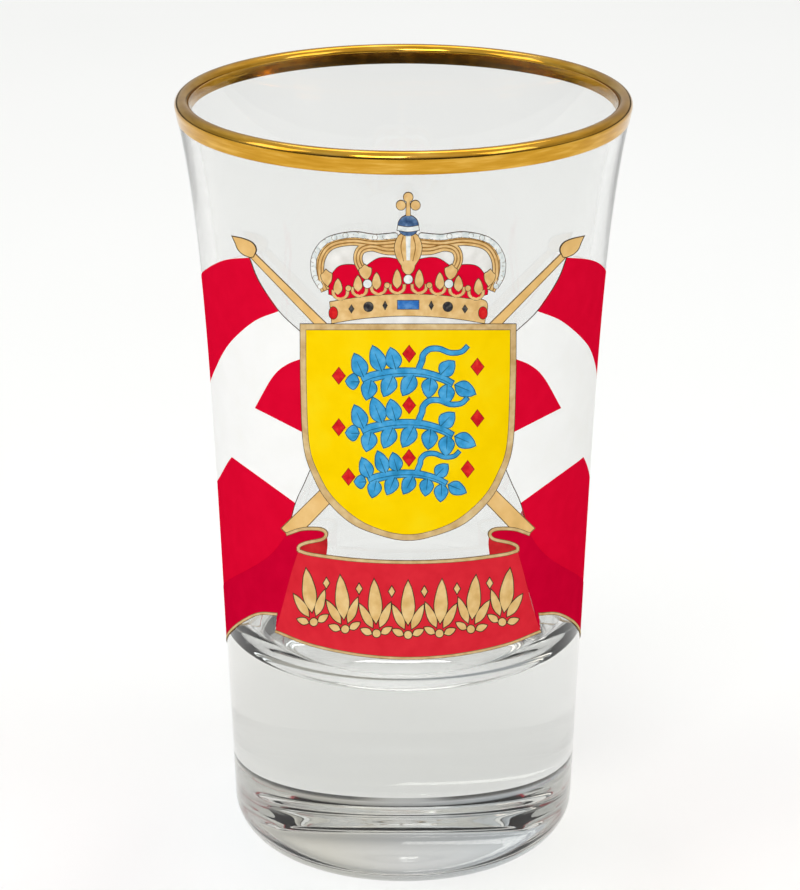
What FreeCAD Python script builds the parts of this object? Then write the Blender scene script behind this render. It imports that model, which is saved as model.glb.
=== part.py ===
"""A souvenir shot glass: a tall flared glass with a heavy solid base, a gold rim and a fired enamel picture.

The row frame has its origin at the middle of the foot, +Z up, and the picture faces -Y. Lengths are in mm.
The picture is made of flat islands of enamel and fired gold, each a thin solid that lies on the outside wall.
It is drawn flat, as the eye sees it from in front and a little above, and on_glass_at() carries a point of
the drawing to the wall. An island in front knocks its own shape out of those behind it, so no two islands
share any space."""

import FreeCAD
import Part

import math
import os
from FreeCAD import Vector

# ---- the glass -------------------------------------------------------------------------------------------
HEIGHT = 80.0
BASE_RADIUS = 17.73  # what the wall's line comes to at the table
TAPER = 3.13  # how much the radius grows by an even slope, foot to rim
FLARE = 2.18  # how much more it grows by the flare, which the top takes most of
FLARE_POWER = 6.65
HEEL_RADIUS = 4.4
FOOT_INNER_RADIUS = 9.0  # the flat ring that the glass stands on starts here
PUNT_DEPTH = 1.1  # the hollow under the foot
FLOOR_HEIGHT = 21.5  # the top of the solid base
FLOOR_DISH = 0.7  # how much lower the floor's middle is than its edge
FLOOR_CORNER = 5.2
LIP_THICKNESS = 1.4
WALL_AT_FLOOR = 2.1
WALL_KNOTS = 13

# ---- the fired gold on the lip ---------------------------------------------------------------------------
GOLD_OUTSIDE = 2.1  # how far down the outside the gold comes, from the top
GOLD_INSIDE = 1.1
GOLD_THICKNESS = 0.06

# ---- the enamel ------------------------------------------------------------------------------------------
INK = 0.08  # a flat colour
RAISED_INK = 0.12  # the gold work, the poles and the stones
OVERPRINT = 0.08  # what is fired over a colour that is already there
SMALLEST_ISLAND = 0.15  # in square millimetres
EYE_DISTANCE = 384.0  # from the glass's axis, level
EYE_HEIGHT = 180.0
EYE_PITCH = math.radians(19.7)
DRAWING_DISTANCE = 394.8  # from the eye to the flat drawing
PICTURE_SHIFT = 0.45  # the picture sits this far to the right of the glass's axis
TURN_LIMIT = math.radians(64.0)  # past this angle from the front the drawing goes round the side evenly
SAMPLE_STEP = 0.45
FEWEST_SAMPLES = 7  # along a curved stretch
STRIP_STEP = 0.55

Z_AXIS = Vector(0, 0, 1)
ORIGIN = Vector(0, 0, 0)


def wall_radius(z):
    """The outside radius of the glass at a height."""
    share = z / HEIGHT
    return BASE_RADIUS + TAPER * share + FLARE * share**FLARE_POWER


def wall_slope(z):
    step = 0.01
    return (wall_radius(z + step) - wall_radius(z - step)) / (2 * step)


def lip_section():
    """The rounded lip's outer end, top, inner end and middle, in the section plane, as (radius, height)."""
    half = LIP_THICKNESS / 2
    lean = math.atan(wall_slope(HEIGHT - half))
    middle_z = HEIGHT - half
    outer_z = middle_z - half * math.sin(lean)
    outer = (wall_radius(outer_z), outer_z)
    middle = (outer[0] - half * math.cos(lean), middle_z)
    inner = (middle[0] - half * math.cos(lean), middle_z + half * math.sin(lean))
    top = (middle[0] + half * math.sin(lean), middle_z + half * math.cos(lean))
    return outer, top, inner, middle


def section_point(radius, z):
    """A point of the section, drawn in the half plane behind the axis so that the seam is at the back."""
    return Vector(0, radius, z)


def through(points, parameters=None):
    curve = Part.BSplineCurve()
    if parameters:
        curve.interpolate(Points=points, Parameters=parameters)
    else:
        curve.interpolate(Points=points)
    return curve


def outer_wall(stand_off=0.0):
    """The outside wall from the heel to the lip, or a line a little off it, with its height as parameter."""
    top = lip_section()[0][1]
    heights = [HEEL_RADIUS + (top - HEEL_RADIUS) * i / (WALL_KNOTS - 1) for i in range(WALL_KNOTS)]
    return through([section_point(wall_radius(z) + stand_off, z) for z in heights], heights)


WALL = outer_wall()
WALL_SURFACE = Part.SurfaceOfRevolution(WALL, ORIGIN, Z_AXIS)
OVERPRINT_SURFACE = Part.SurfaceOfRevolution(outer_wall(INK), ORIGIN, Z_AXIS)


def inner_wall():
    """The inside wall, from the floor's corner up to the lip."""
    inner = lip_section()[2]
    low = FLOOR_HEIGHT + FLOOR_CORNER
    points = []
    for i in range(WALL_KNOTS):
        share = i / (WALL_KNOTS - 1)
        z = low + (inner[1] - low) * share
        wall = WALL_AT_FLOOR + (wall_radius(inner[1]) - inner[0] - WALL_AT_FLOOR) * share
        points.append(section_point(wall_radius(z) - wall, z))
    points[-1] = section_point(*inner)
    return through(points)


def bowl(radius, edge_z, rise):
    """The middle and a half way point of a shallow spherical bowl, so high or low at its middle."""
    sphere = (radius**2 + rise**2) / (2 * rise)
    half_way = edge_z + rise - sphere + math.copysign(math.sqrt(sphere**2 - radius**2 / 4), sphere)
    return section_point(0, edge_z + rise), section_point(radius / 2, half_way)


def glass_body():
    """The one piece of glass: the wall, the rounded lip, the solid base with its heel, foot and punt."""
    outer, top, inner, _ = lip_section()
    inside = inner_wall()
    corner_top = inside.value(inside.FirstParameter)
    corner_low = section_point(corner_top.y - FLOOR_CORNER, FLOOR_HEIGHT)
    turn = math.sqrt(0.5)
    corner_mid = section_point(
        corner_top.y - FLOOR_CORNER * (1 - turn), corner_top.z - FLOOR_CORNER * turn
    )
    floor_middle, floor_between = bowl(corner_low.y, FLOOR_HEIGHT, -FLOOR_DISH)
    heel_top = section_point(wall_radius(HEEL_RADIUS), HEEL_RADIUS)
    foot_edge = section_point(heel_top.y - HEEL_RADIUS, 0)
    heel_mid = section_point(
        heel_top.y - HEEL_RADIUS * (1 - turn), HEEL_RADIUS * (1 - turn)
    )
    foot_inner = section_point(FOOT_INNER_RADIUS, 0)
    punt_middle, punt_between = bowl(FOOT_INNER_RADIUS, 0, PUNT_DEPTH)
    edges = [
        Part.Arc(section_point(*inner), section_point(*top), section_point(*outer)).toShape(),
        WALL.toShape(),
        Part.Arc(heel_top, heel_mid, foot_edge).toShape(),
        Part.LineSegment(foot_edge, foot_inner).toShape(),
        Part.Arc(foot_inner, punt_between, punt_middle).toShape(),
        Part.LineSegment(punt_middle, floor_middle).toShape(),
        Part.Arc(floor_middle, floor_between, corner_low).toShape(),
        Part.Arc(corner_low, corner_mid, corner_top).toShape(),
        inside.toShape(),
    ]
    return revolved(edges)


def revolved(edges):
    wire = Part.Wire(Part.__sortEdges__(edges))
    return Part.Face(wire).revolve(ORIGIN, Z_AXIS, 360)


def rim_gold():
    """The fired gold: a skin over the rounded lip that reaches a little way down each side."""
    outer, _, inner, middle = lip_section()
    lean = math.atan(wall_slope(middle[1]))

    def around(angle, radius):
        """A point on the lip's round, from 0 on the outer side to pi on the inner side."""
        return section_point(
            middle[0] + radius * math.cos(angle - lean), middle[1] + radius * math.sin(angle - lean)
        )

    def beside(point, skin):
        """The point that lies a skin's thickness off a wall."""
        return Vector(0, point.y + skin * math.cos(lean), point.z - skin * math.sin(lean))

    near = [around(angle, LIP_THICKNESS / 2) for angle in (0, math.pi / 2, math.pi)]
    far = [around(angle, LIP_THICKNESS / 2 + GOLD_THICKNESS) for angle in (0, math.pi / 2, math.pi)]
    inside = inner_wall()
    last = inside.LastParameter
    low = inside.parameter(section_point(inner[0], HEIGHT - GOLD_INSIDE))
    outside_edge = WALL.toShape(HEIGHT - GOLD_OUTSIDE, outer[1])
    inside_edge = inside.toShape(low, last)
    outer_low, inner_low = WALL.value(HEIGHT - GOLD_OUTSIDE), inside.value(low)
    outer_far, inner_far = beside(outer_low, GOLD_THICKNESS), beside(inner_low, -GOLD_THICKNESS)
    edges = [
        outside_edge,
        Part.Arc(*near).toShape(),
        inside_edge,
        Part.LineSegment(inner_low, inner_far).toShape(),
        Part.LineSegment(inner_far, far[2]).toShape(),
        Part.Arc(*far).toShape(),
        Part.LineSegment(far[0], outer_far).toShape(),
        Part.LineSegment(outer_far, outer_low).toShape(),
    ]
    return revolved(edges)


# ---- from the flat drawing to the wall -------------------------------------------------------------------
def turn_of(share):
    """The angle from the front of a point whose distance off the axis is a share of the radius."""
    limit = math.sin(TURN_LIMIT)
    if abs(share) <= limit:
        return math.asin(share)
    past = (abs(share) - limit) / math.cos(TURN_LIMIT)
    return math.copysign(TURN_LIMIT + past, share)


def on_glass_at(point):
    """(angle round the axis, height) on the wall of a point of the flat drawing."""
    x, v = point[0] + PICTURE_SHIFT, point[1]
    sin_pitch, cos_pitch = math.sin(EYE_PITCH), math.cos(EYE_PITCH)
    z, turn = HEIGHT / 2, 0.0
    for _ in range(24):
        radius = wall_radius(z)
        away = EYE_DISTANCE - radius * math.cos(turn)
        depth = away * cos_pitch - (z - EYE_HEIGHT) * sin_pitch
        scale = depth / DRAWING_DISTANCE
        turn = turn_of(x * scale / radius)
        away = EYE_DISTANCE - radius * math.cos(turn)
        z = EYE_HEIGHT + (v * scale - away * sin_pitch) / cos_pitch
    return math.pi + turn, z


def samples(stretch):
    """Points along one stretch of an outline: a straight line if it has two points, else a smooth curve."""
    points = [Vector(x, v, 0) for x, v in stretch]
    if len(points) == 2:
        edge = Part.LineSegment(*points).toShape()
        fewest = 3
    else:
        edge = through(points).toShape()
        fewest = FEWEST_SAMPLES
    count = max(fewest, math.ceil(edge.Length / SAMPLE_STEP) + 1)
    found = edge.discretize(Number=count)
    return [stretch[0]] + [(p.x, p.y) for p in found[1:-1]] + [stretch[-1]]


def surface_curve(stretch):
    """One stretch as a curve in the wall's own coordinates, angle and height.

    It is drawn on the wall unrolled at true scale, so that it is as smooth along the wall as up it."""
    unrolled = through([Vector(turn * BASE_RADIUS, z, 0) for turn, z in map(on_glass_at, samples(stretch))])
    poles = [FreeCAD.Base.Vector2d(p.x / BASE_RADIUS, p.y) for p in unrolled.getPoles()]
    curve = Part.Geom2d.BSplineCurve2d()
    curve.buildFromPolesMultsKnots(
        poles, unrolled.getMultiplicities(), unrolled.getKnots(), False, unrolled.Degree
    )
    return curve


def patch(outline, surface):
    """The face inside an outline, laid on the wall or on the ink that is already there."""
    edges = [surface_curve(stretch).toShape(surface) for stretch in outline]
    face = Part.Face(surface, Part.Wire(edges))
    face.validate()
    return face


def joined(*runs):
    """An outline of stretches: each run starts where the one before it ends, and the last one closes."""
    stretches, at = [], runs[0][0]
    for i, run in enumerate(runs):
        points = list(run) if i == 0 else [at, *run]
        stretches.append(points)
        at = points[-1]
    if math.dist(at, runs[0][0]) > 1e-6:
        stretches.append([at, runs[0][0]])
    return stretches


def mirrored(outline):
    return [[(-x, v) for x, v in run] for run in outline]


def oval(x, v, half_width, half_height=None, count=10):
    """A round or oval island."""
    tall = half_height or half_width
    ring = [
        (x + half_width * math.cos(2 * math.pi * i / count), v + tall * math.sin(2 * math.pi * i / count))
        for i in range(count)
    ]
    half = count // 2
    return [ring[:half + 1], [*ring[half:], ring[0]]]


def turned(points, angle, x=0.0, v=0.0):
    """Points of a motif, turned and then moved to their place."""
    c, s = math.cos(angle), math.sin(angle)
    return [(x + px * c - pv * s, v + px * s + pv * c) for px, pv in points]


def leaf(x, v, length, width, angle, belly=0.45):
    """A pointed leaf whose stalk end is at (x, v)."""
    side = [(0, 0), (length * belly * 0.45, width * 0.38), (length * belly, width / 2),
            (length * 0.8, width * 0.29), (length, 0)]
    back = [(px, -pv) for px, pv in reversed(side[:-1])]
    ring = turned(side + back, angle, x, v)
    return [[ring[i], ring[i + 1]] for i in range(len(ring) - 1)]


def lozenge(x, v, half_width, half_height):
    corners = [(x - half_width, v), (x, v + half_height), (x + half_width, v), (x, v - half_height)]
    return [[corners[i], corners[(i + 1) % 4]] for i in range(4)]


def strip(path, width, end_width=None):
    """A line of even or tapering width along a smooth path."""
    end = width if end_width is None else end_width
    curve = through([Vector(x, v, 0) for x, v in path])
    count = max(6, math.ceil(curve.length() / STRIP_STEP))
    first, last = curve.FirstParameter, curve.LastParameter
    sides = ([], [])
    for i in range(count + 1):
        share = i / count
        at = first + (last - first) * share
        p, along = curve.value(at), curve.tangent(at)[0]
        half = (width + (end - width) * share) / 2
        for side, way in zip(sides, (half, -half)):
            side.append((p.x - along.y * way, p.y + along.x * way))
    back = list(reversed(sides[1]))
    return [sides[0], [sides[0][-1], back[0]], back, [back[-1], sides[0][0]]]


# ---- the picture, from the front to the back -------------------------------------------------------------
SHIELD_HALF = 10.75
SHIELD_TOP = 12.1
SHIELD_FOOT = -9.5
SHIELD_RIM = 0.6
ROWS = ((7.3, 1.0), (2.15, 1.0), (-2.85, 0.86))  # each sprig's height and size
STEM = ((-4.5, -0.85), (-3.4, -0.4), (-1.2, -0.02), (1.2, -0.05), (3.2, -0.55), (4.4, -1.15))
TENDRIL = ((1.15, 0.6), (1.4, 1.2), (1.5, 1.75), (2.1, 2.3), (3.1, 2.35), (4.2, 1.95), (5.3, 2.05),
           (5.9, 2.6))
SPRIG_LEAVES = (  # where each leaf leaves the stem, its length and which way it points
    (-4.3, -0.75, 2.2, 112), (-4.6, -0.95, 1.6, 176), (-3.6, -0.5, 1.7, 256), (-2.5, -0.2, 2.4, 110),
    (-1.4, -0.1, 1.9, 246), (-0.8, 0.0, 2.1, 96), (0.7, 0.0, 2.0, 242), (2.3, -0.25, 1.7, 262),
    (3.9, -0.9, 1.7, 266), (4.4, -1.15, 1.9, 336), (3.0, -0.45, 1.6, 44))
LEAF_WIDTH = 1.4
STALK_GAP = 0.6  # from the stem's middle to the leaf's end
RIBBON_MIDDLE = -16.55
RIBBON_RISE = 1.25  # how much higher the motifs at the ribbon's ends stand
MOTIFS = 7
MOTIF_PITCH = 3.25
POLE_TOP = (-15.55, 19.0)
POLE_FOOT = (12.0, -8.9)
POLE_HALF_TOP = 0.26
POLE_HALF_FOOT = 0.84
OUTER_ARCH = ((8.25, 15.5), (9.05, 17.0), (9.0, 18.9), (7.8, 20.5), (5.6, 21.1), (3.2, 20.75), (0.75, 20.95))
INNER_ARCH = ((4.35, 17.1), (5.05, 18.6), (4.75, 19.75), (3.6, 20.2), (2.2, 19.75), (0.7, 19.7))
BEAD_LINE = ((8.75, 15.9), (9.6, 17.3), (9.55, 19.2), (8.1, 21.0), (5.6, 21.65), (3.3, 21.35), (1.45, 21.5))
CROWN_BEADS = 13
CROWN_POINTS = (  # where each leaf point stands, its size and its lean
    (0, 1.0, 0.0), (-4.15, 0.9, 0.1), (4.15, 0.9, -0.1), (-7.5, 0.75, 0.25), (7.5, 0.75, -0.25))
BAND_BOW = 0.011  # how fast the band's lines drop away from the middle, per mm squared


def shield_outline(inset):
    half, top, foot = SHIELD_HALF - inset, SHIELD_TOP - inset, SHIELD_FOOT + inset
    left = [(-half, top), (-half + 0.05, 6.0), (-half + 0.35, 0.0), (-half + 1.35, -3.2 + inset * 0.4),
            (-half + 2.75, -5.6 + inset * 0.6), (-half + 5.2, -7.85 + inset * 0.8),
            (-2.4, foot + 0.4), (0, foot)]
    right = [(-x, v) for x, v in reversed(left)]
    return joined(left, right[1:])


def ribbon_motifs():
    """A row of gold palmettes, with a bead between each two."""
    found = []
    middle = (MOTIFS - 1) / 2
    for i in range(MOTIFS):
        x = (i - middle) * MOTIF_PITCH
        v = RIBBON_MIDDLE + RIBBON_RISE * (i / middle - 1) ** 2
        lean = 0.045 * (middle - i)
        up = math.pi / 2 + lean
        foot_x, foot_v = turned([(0, -2.75)], lean, x, v)[0]
        found.append(leaf(*turned([(0, -1.4)], lean, x, v)[0], 4.4, 1.3, up))
        for way in (1, -1):
            found.append(leaf(*turned([(-0.36 * way, -1.8)], lean, x, v)[0], 2.7, 0.8, up + 0.46 * way))
            found.append(leaf(*turned([(-0.48 * way, -2.42)], lean, x, v)[0], 1.2, 0.66, up + 1.1 * way))
        found.append(oval(foot_x, foot_v + 0.35, 0.38))
    for i in range(MOTIFS - 1):
        x = (i + 0.5 - middle) * MOTIF_PITCH
        v = RIBBON_MIDDLE + RIBBON_RISE * ((i + 0.5) / middle - 1) ** 2
        found.append(lozenge(x, v + 1.9, 0.3, 0.5))
    return found


RIBBON_TOP = [(-10.9, -10.55), (-9.4, -10.95), (-5.0, -11.5), (0, -11.7), (5.0, -11.5), (9.4, -10.95),
              (10.9, -10.55)]
RIBBON_SIDE = [(11.5, -12.7), (12.35, -15.9), (13.2, -18.6)]
RIBBON_LOW = [(9.7, -19.95), (4.9, -20.95), (0, -21.3), (-4.9, -20.95), (-9.7, -19.95), (-13.2, -18.6)]
FOLD_TOP = [(-12.1, -8.9), (-10.55, -8.4), (-8.75, -8.4), (-8.15, -8.85), (-8.55, -9.4), (-10.1, -9.75),
            (-10.85, -10.1), (-10.9, -10.55)]
TAIL_LOW = [(-13.05, -16.9), (-14.8, -16.85), (-16.3, -17.5), (-18.4, -18.9), (-20.6, -20.0)]
FLAG_LOW = [(-12.1, -8.9), (-13.35, -10.6), (-15.0, -11.9), (-18.3, -13.6), (-20.8, -14.3)]


def ribbon_front():
    return joined(RIBBON_TOP, RIBBON_SIDE, RIBBON_LOW, [(-12.45, -15.9), (-11.6, -12.7), (-10.9, -10.55)])


def ribbon_inner_fold():
    return joined([(-8.15, -8.85), (-8.05, -9.9), (-8.2, -11.3)], [(-9.6, -11.2), (-10.9, -10.55)],
                  [(-10.85, -10.1), (-10.1, -9.75), (-8.55, -9.4), (-8.15, -8.85)])


def ribbon_tail():
    """The end of the ribbon that goes back under the front, past the flag's low edge and round the side."""
    return joined(FOLD_TOP, [(-13.2, -18.6)], [(-13.05, -16.9)], TAIL_LOW[1:],
                  [(-21.6, -17.9), (-21.0, -16.2)], [(-20.8, -14.3)], list(reversed(FLAG_LOW))[1:])


def pole(sign):
    """A flag pole, thin under its finial and thicker at its foot."""
    (tx, tv), (fx, fv) = POLE_TOP, POLE_FOOT
    length = math.hypot(fx - tx, fv - tv)
    nx, nv = -(fv - tv) / length, (fx - tx) / length
    corners = [(tx + nx * POLE_HALF_TOP, tv + nv * POLE_HALF_TOP),
               (fx + nx * POLE_HALF_FOOT, fv + nv * POLE_HALF_FOOT),
               (fx - nx * POLE_HALF_FOOT, fv - nv * POLE_HALF_FOOT),
               (tx - nx * POLE_HALF_TOP, tv - nv * POLE_HALF_TOP)]
    runs = [[corners[i], corners[(i + 1) % 4]] for i in range(4)]
    return runs if sign < 0 else mirrored(runs)


def finial():
    return joined([(-15.45, 18.85), (-15.2, 19.55), (-15.55, 20.2), (-16.4, 20.6), (-17.5, 20.85)],
                  [(-17.2, 20.2), (-16.95, 19.6), (-16.45, 19.1), (-15.75, 18.8)])


FLAG_HOIST = [(-15.85, 18.75), (-14.9, 16.4), (-12.9, 13.4), (-10.6, 11.2)]
FLAG_FOOT = [(-9.4, -1.6), (-10.4, -3.9), (-11.25, -5.8), (-12.1, -8.9)]
FLAG_FLY = [(-20.8, -14.3), (-22.6, -13.2), (-24.0, -8.0), (-23.4, -1.0), (-24.6, 6.0), (-23.9, 12.5),
            (-24.3, 15.4)]
FLAG_TOP = [(-24.3, 15.4), (-21.9, 16.9), (-20.3, 17.6), (-18.3, 18.5), (-15.85, 18.75)]


def flag():
    return joined(FLAG_HOIST, [(-9.4, -1.6)], FLAG_FOOT[1:], FLAG_LOW[1:], FLAG_FLY[1:], FLAG_TOP[1:])


def flag_red_top():
    return joined(FLAG_TOP, [(-14.9, 16.4), (-12.9, 13.4)],
                  [(-15.4, 12.35), (-17.8, 10.2), (-19.5, 7.5), (-21.0, 6.3), (-24.9, 5.3)],
                  [(-24.5, 10.0), (-24.2, 12.5), (-24.6, 15.5)])


def flag_red_middle():
    return joined([(-15.3, 3.7), (-13.6, 6.7), (-12.2, 8.0), (-10.2, 8.8)], [(-9.4, 0.7)], [(-15.3, 3.7)])


def flag_red_low():
    return joined([(-17.6, -1.2), (-11.25, -5.8)], [(-11.75, -7.8), (-12.1, -8.9)], FLAG_LOW[1:],
                  [(-22.9, -13.4), (-24.4, -8.0), (-24.1, -5.0)],
                  [(-21.2, -3.9), (-19.2, -3.2), (-17.6, -1.2)])


def sprigs(height, size):
    """One leafy sprig: its leaves, which stop short of the stem, then the curling tendril and the stem."""
    def at(x, v):
        return x * size, height + v * size

    pieces = []
    for x, v, length, degrees in SPRIG_LEAVES:
        angle = math.radians(degrees)
        start = at(x + STALK_GAP * math.cos(angle), v + STALK_GAP * math.sin(angle))
        pieces.append(leaf(*start, length * size, LEAF_WIDTH * size, angle))
    pieces.append(strip([at(*p) for p in TENDRIL], 0.56 * size, 0.42 * size))
    pieces.append(strip([at(*p) for p in STEM], 0.76 * size, 0.54 * size))
    return pieces


def lozenges():
    """Three small red lozenges by each sprig."""
    found = []
    for height, size in ROWS:
        for x, v in ((-6.9, -0.35), (0.1, 1.85), (6.9, 0.55)):
            found.append(lozenge(x * size, height + v * size, 0.62, 0.8))
    return found


def crown_arch(sign, path, width, end_width):
    return strip([(sign * x, v) for x, v in path], width, end_width)


def crown_beads():
    """The beads that stand along the tops of the outer arches."""
    path = through([Vector(x, v, 0) for x, v in BEAD_LINE])
    found = []
    for p in path.toShape().discretize(Number=CROWN_BEADS):
        found += [oval(sign * p.x, p.y, 0.25, count=8) for sign in (-1, 1)]
    return found


def crown_points():
    """Five leaf points that stand on the band, each with two side leaves."""
    found = []
    for x, size, lean in CROWN_POINTS:
        foot = 15.35 - BAND_BOW * x * x
        found.append(leaf(x - lean, foot + 0.95 * size, 2.15 * size, 1.15 * size, math.pi / 2 + lean, 0.55))
        for way in (1, -1):
            if abs(x - way * 1.3) < 8.4:
                found.append(leaf(x - 0.35 * way * size, foot + 0.65 * size, 1.6 * size, 0.8 * size,
                                  math.pi / 2 + lean + 1.05 * way, 0.6))
    return found


def crown_pearls():
    """The pearls at the foot of each leaf point, and the smaller ones between them."""
    large = [oval(x, 15.95 - BAND_BOW * x * x, 0.42) for x in (-4.15, 0, 4.15)]
    small = [oval(x, 15.75 - BAND_BOW * x * x, 0.26, count=8) for x in (-6.0, -2.1, 2.1, 6.0)]
    return large + small


def band_edge(height, half):
    """A line across the crown's band, which bows up in the middle."""
    return [(half * i / 4, height - BAND_BOW * (half * i / 4) ** 2) for i in range(-4, 5)]


def crown_band():
    low, high = band_edge(12.95, 7.75), band_edge(15.15, 8.15)
    return joined(low, list(reversed(high)))


def band_jewels():
    """The stones set in the band, as (blue, red, dark) islands."""
    v = 14.05

    def lift(x):
        return v - BAND_BOW * x * x

    blue = [joined([(-1.05, v - 0.42), (1.05, v - 0.42)], [(1.05, v + 0.42)], [(-1.05, v + 0.42)])]
    red = [oval(sign * 7.45, lift(7.45) - 0.1, 0.42, 0.6) for sign in (-1, 1)]
    dark = []
    for sign in (-1, 1):
        dark += [lozenge(sign * 2.3, lift(2.3), 0.22, 0.42), oval(sign * 3.95, lift(3.95), 0.48),
                 lozenge(sign * 5.65, lift(5.65), 0.26, 0.4)]
    return blue, red, dark


def crown_cap():
    """The soft red cap inside the crown, puffed up between the arches."""
    return joined([(0, 15.0), (0, 18.2)], [(1.2, 18.9), (2.9, 19.0), (4.5, 17.9)],
                  [(5.6, 18.3), (7.0, 18.1), (8.0, 16.6), (8.1, 15.3)],
                  list(reversed(band_edge(15.0, 8.1)))[1:5])


def crown_lining():
    left = [(-8.3, 15.4), (-9.05, 17.0), (-9.0, 18.9), (-7.8, 20.5), (-5.6, 21.1), (-3.2, 20.75), (0, 21.0)]
    right = [(-x, v) for x, v in reversed(left)]
    return joined(left + right[1:])


def crown_hem():
    return joined(band_edge(12.15, 7.6), [(7.75, 12.3)], list(reversed(band_edge(12.95, 7.75)))[1:])


def crown_top():
    """The stem and the three knobs over the orb, and the belt round the orb."""
    return [oval(-0.72, 24.15, 0.46), oval(0.72, 24.15, 0.46), oval(0, 24.95, 0.46),
            strip([(0, 24.4), (0, 23.7), (0, 22.95)], 0.3, 0.42)]


def picture():
    """Every enamel island as (node, outlines, thickness), from the front to the back."""
    blue, red, dark = band_jewels()
    low_line = [(-13.2, -18.6), *reversed(RIBBON_LOW[:-1]), (13.2, -18.6)]
    edging = [strip(RIBBON_TOP, 0.24), strip(low_line, 0.2)]
    for fold, tail in ((FOLD_TOP, TAIL_LOW), mirrored((FOLD_TOP, TAIL_LOW))):
        edging += [strip(fold[:-1], 0.22), strip(tail, 0.2)]
    islands = [
        ("ribbon_edging", edging, RAISED_INK),
        ("ribbon_front", [ribbon_front()], INK),
        ("ribbon_inner_fold_left", [ribbon_inner_fold()], INK),
        ("ribbon_inner_fold_right", [mirrored(ribbon_inner_fold())], INK),
        ("ribbon_tail_left", [ribbon_tail()], INK),
        ("ribbon_tail_right", [mirrored(ribbon_tail())], INK),
        ("crown_knobs", crown_top(), RAISED_INK),
        ("crown_orb_belt", [strip([(-1.05, 21.75), (0, 21.6), (1.05, 21.75)], 0.45)], RAISED_INK),
        ("crown_orb", [oval(0, 21.95, 1.02)], INK),
        ("crown_pearls", crown_pearls(), RAISED_INK),
        ("crown_leaf_points", crown_points(), RAISED_INK),
        ("crown_blue_stone", blue, RAISED_INK),
        ("crown_red_stones", red, RAISED_INK),
        ("crown_dark_stones", dark, RAISED_INK),
        ("crown_band", [crown_band()], RAISED_INK),
        ("crown_hem", [crown_hem()], INK),
        ("crown_beads", crown_beads(), RAISED_INK),
        ("crown_middle_arch", [strip([(0, 21.2), (0, 19.4), (0, 17.9)], 1.5, 0.7)], RAISED_INK),
        ("crown_inner_arches", [crown_arch(sign, INNER_ARCH, 0.55, 0.8) for sign in (-1, 1)], RAISED_INK),
        ("crown_outer_arches", [crown_arch(sign, OUTER_ARCH, 0.62, 0.85) for sign in (-1, 1)], RAISED_INK),
        ("crown_cap_right", [crown_cap()], INK),
        ("crown_cap_left", [mirrored(crown_cap())], INK),
        ("crown_lining", [crown_lining()], INK),
        ("shield_field", [shield_outline(SHIELD_RIM)], INK),
        ("shield_rim", [shield_outline(0)], RAISED_INK),
        ("flag_finial_left", [finial()], RAISED_INK),
        ("flag_finial_right", [mirrored(finial())], RAISED_INK),
        ("flag_pole_left", [pole(-1)], RAISED_INK),
        ("flag_pole_right", [pole(1)], RAISED_INK),
    ]
    for name, outline in (("red_top", flag_red_top()), ("red_middle", flag_red_middle()),
                          ("red_low", flag_red_low()), ("white", flag())):
        islands.append((f"flag_{name}_left", [outline], INK))
        islands.append((f"flag_{name}_right", [mirrored(outline)], INK))
    return islands


def overprint():
    """The islands that are fired over a colour, not beside it: the ribbon's ornament and the shield's."""
    islands = [("ribbon_palmettes", ribbon_motifs(), OVERPRINT), ("shield_lozenges", lozenges(), OVERPRINT)]
    for name, (height, size) in zip(("top", "middle", "low"), ROWS):
        islands.append((f"shield_sprig_{name}", sprigs(height, size), OVERPRINT))
    return islands


def knocked_out(face, in_front):
    """What is left of a face once the faces in front of it are taken away, as separate faces."""
    near = [f for f in in_front if f.BoundBox.intersect(face.BoundBox)]
    left = face.cut(near) if near else face
    return [f for f in left.Faces if f.Area > SMALLEST_ISLAND]


def thickened(face, thickness):
    """The island of enamel on a face, outwards."""
    solid = face.makeOffsetShape(thickness, 1e-4, fill=True)
    middle = solid.CenterOfMass
    if math.hypot(middle.x, middle.y) < math.hypot(face.CenterOfMass.x, face.CenterOfMass.y):
        solid = face.makeOffsetShape(-thickness, 1e-4, fill=True)
    return solid


def write(node, solids):
    shape_out = solids[0] if len(solids) == 1 else Part.makeCompound(solids)
    shape_out.exportStep(f"parts/{node}.step")
    bad = [s for s in solids if not s.isValid() or s.ShapeType != "Solid"]
    volume = sum(s.Volume for s in solids)
    print(f"{node:24s} {len(solids):3d} solids {volume:10.3f} mm3" + (f"  {len(bad)} BAD" if bad else ""))


def main():
    os.makedirs("parts", exist_ok=True)
    write("glass_body", [glass_body()])
    write("rim_gold", [rim_gold()])
    for islands, surface in ((overprint(), OVERPRINT_SURFACE), (picture(), WALL_SURFACE)):
        in_front = []
        for node, outlines, thickness in islands:
            solids = []
            for outline in outlines:
                face = patch(outline, surface)
                solids += [thickened(part, thickness) for part in knocked_out(face, in_front)]
                in_front.append(face)
            write(node, solids)


main()
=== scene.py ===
"""A souvenir shot glass on a pale table: clear glass with a heavy base, a gold rim and an enamel picture.

The enamel is drawn flat, in millimetres, and on_wall() carries it to the glass. Each colour is a film of its
own, and its level says which films it lies over. A higher film stands a little further out and also reaches a
little further in, so that it shows from the outside and through the glass from the inside alike. A pale
under-print backs the flags, the shield and the ribbon."""

import math

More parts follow.
